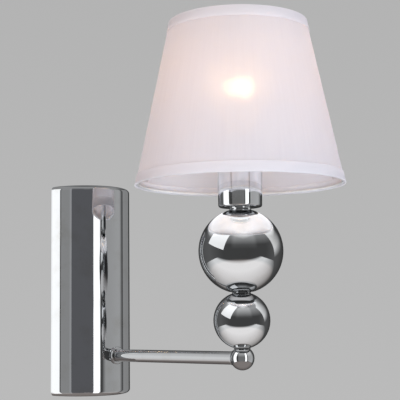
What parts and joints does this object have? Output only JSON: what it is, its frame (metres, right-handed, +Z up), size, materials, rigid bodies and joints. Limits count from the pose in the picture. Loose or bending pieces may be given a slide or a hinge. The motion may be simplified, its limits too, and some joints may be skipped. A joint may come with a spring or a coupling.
{
  "type": "wall sconce",
  "caption": "Chrome wall sconce: half-round wall canopy, straight horizontal arm with turning elbow, stacked chrome balls and an upright bulb under a tapered white fabric shade.",
  "frame": {"origin": "centre of the canopy's outline on the wall plane, midway between the two wall slots", "axes": "+Z up, the wall is the plane y = 0 and the lamp stands out towards -Y, +X to the right when the lamp is seen from the room"},
  "size_m": [0.201, 0.3165, 0.3639],
  "materials": {
    "chrome": "mirror-bright chrome plate",
    "zinc_steel": "zinc-plated steel, dull",
    "plated_screw": "nickel-plated steel",
    "brass": "plain brass",
    "white_polyamide": "moulded white polyamide",
    "lead_insulation": "flexible insulation, brown and blue",
    "earth_insulation": "green and yellow insulation",
    "cable_jacket": "white flexible jacket",
    "holder_moulding": "white moulded phenolic",
    "white_enamel": "white stoved enamel on wire",
    "shade_liner": "translucent film, satin",
    "shade_fabric": "white woven voile, translucent",
    "shade_tape": "white folded tape",
    "solder_tip": "solder",
    "black_glass": "dark vitreous ring",
    "bulb_cap": "rolled thread, bright",
    "frosted_glass": "inside-frosted, lit",
    "clear_glass": "clear",
    "filament": "glowing wire"
  },
  "bodies": {
    "canopy": {"wall_bracket": "zinc_steel", "canopy_shell": "chrome", "canopy_screws": "chrome", "terminal_block": "white_polyamide", "terminal_screws": "plated_screw", "earth_screw": "brass", "earth_washer": "brass", "canopy_leads": "lead_insulation", "earth_lead": "earth_insulation", "arm_collar": "chrome", "inner_saddle": "zinc_steel"},
    "arm": {"arm_nut": "plated_screw", "lock_washer": "plated_screw", "arm_rod": "zinc_steel", "arm_tube": "chrome", "arm_ferrule": "chrome", "elbow_ball": "chrome", "arm_flex": "cable_jacket", "cord_grip": "white_polyamide"},
    "lamp": {"stem_rod": "zinc_steel", "neck_ring": "chrome", "small_ball": "chrome", "spool_neck": "chrome", "big_ball": "chrome", "cup_seat": "chrome", "stem_nut": "plated_screw", "holder_cup": "chrome", "lampholder_body": "holder_moulding", "socket_shell": "plated_screw", "socket_contact": "brass", "stem_flex": "cable_jacket", "shade_ring": "holder_moulding"},
    "shade": {"shade_hub": "white_enamel", "shade_spokes": "white_enamel", "mouth_wire": "white_enamel", "foot_wire": "white_enamel", "shade_liner": "shade_liner", "shade_fabric": "shade_fabric", "mouth_trim": "shade_tape", "foot_trim": "shade_tape"},
    "bulb_tip": {"bulb_contact": "solder_tip"},
    "bulb": {"bulb_insulator": "black_glass", "bulb_cap": "bulb_cap", "bulb_glass": "frosted_glass", "bulb_mount": "clear_glass", "bulb_filament": "filament"}
  },
  "joints": [
    {"name": "arm_level", "type": "hinge", "parent": "canopy", "child": "arm", "pos_m": [0, -0.05, -0.068], "axis": [0, -1, 0], "range_deg": [-15, 15]},
    {"name": "lamp_swing", "type": "hinge", "parent": "arm", "child": "lamp", "pos_m": [0, -0.216, -0.0595], "axis": [0, 0, 1], "range_deg": [-170, 170]},
    {"name": "shade_turn", "type": "hinge", "parent": "lamp", "child": "shade", "pos_m": [0, -0.216, 0.129], "axis": [0, 0, 1], "continuous": true},
    {"name": "bulb_lift", "type": "slide", "parent": "lamp", "child": "bulb_tip", "axis": [0, 0, 1], "range_m": [0, 0.0182]},
    {"name": "bulb_turn", "type": "hinge", "parent": "bulb_tip", "child": "bulb", "pos_m": [0, -0.216, 0.115], "axis": [0, 0, 1], "range_deg": [0, 1800]}
  ],
  "couplings": [
    {"joint": "bulb_lift", "follows": "bulb_turn", "m_per_rad": 0.00057614}
  ]
}
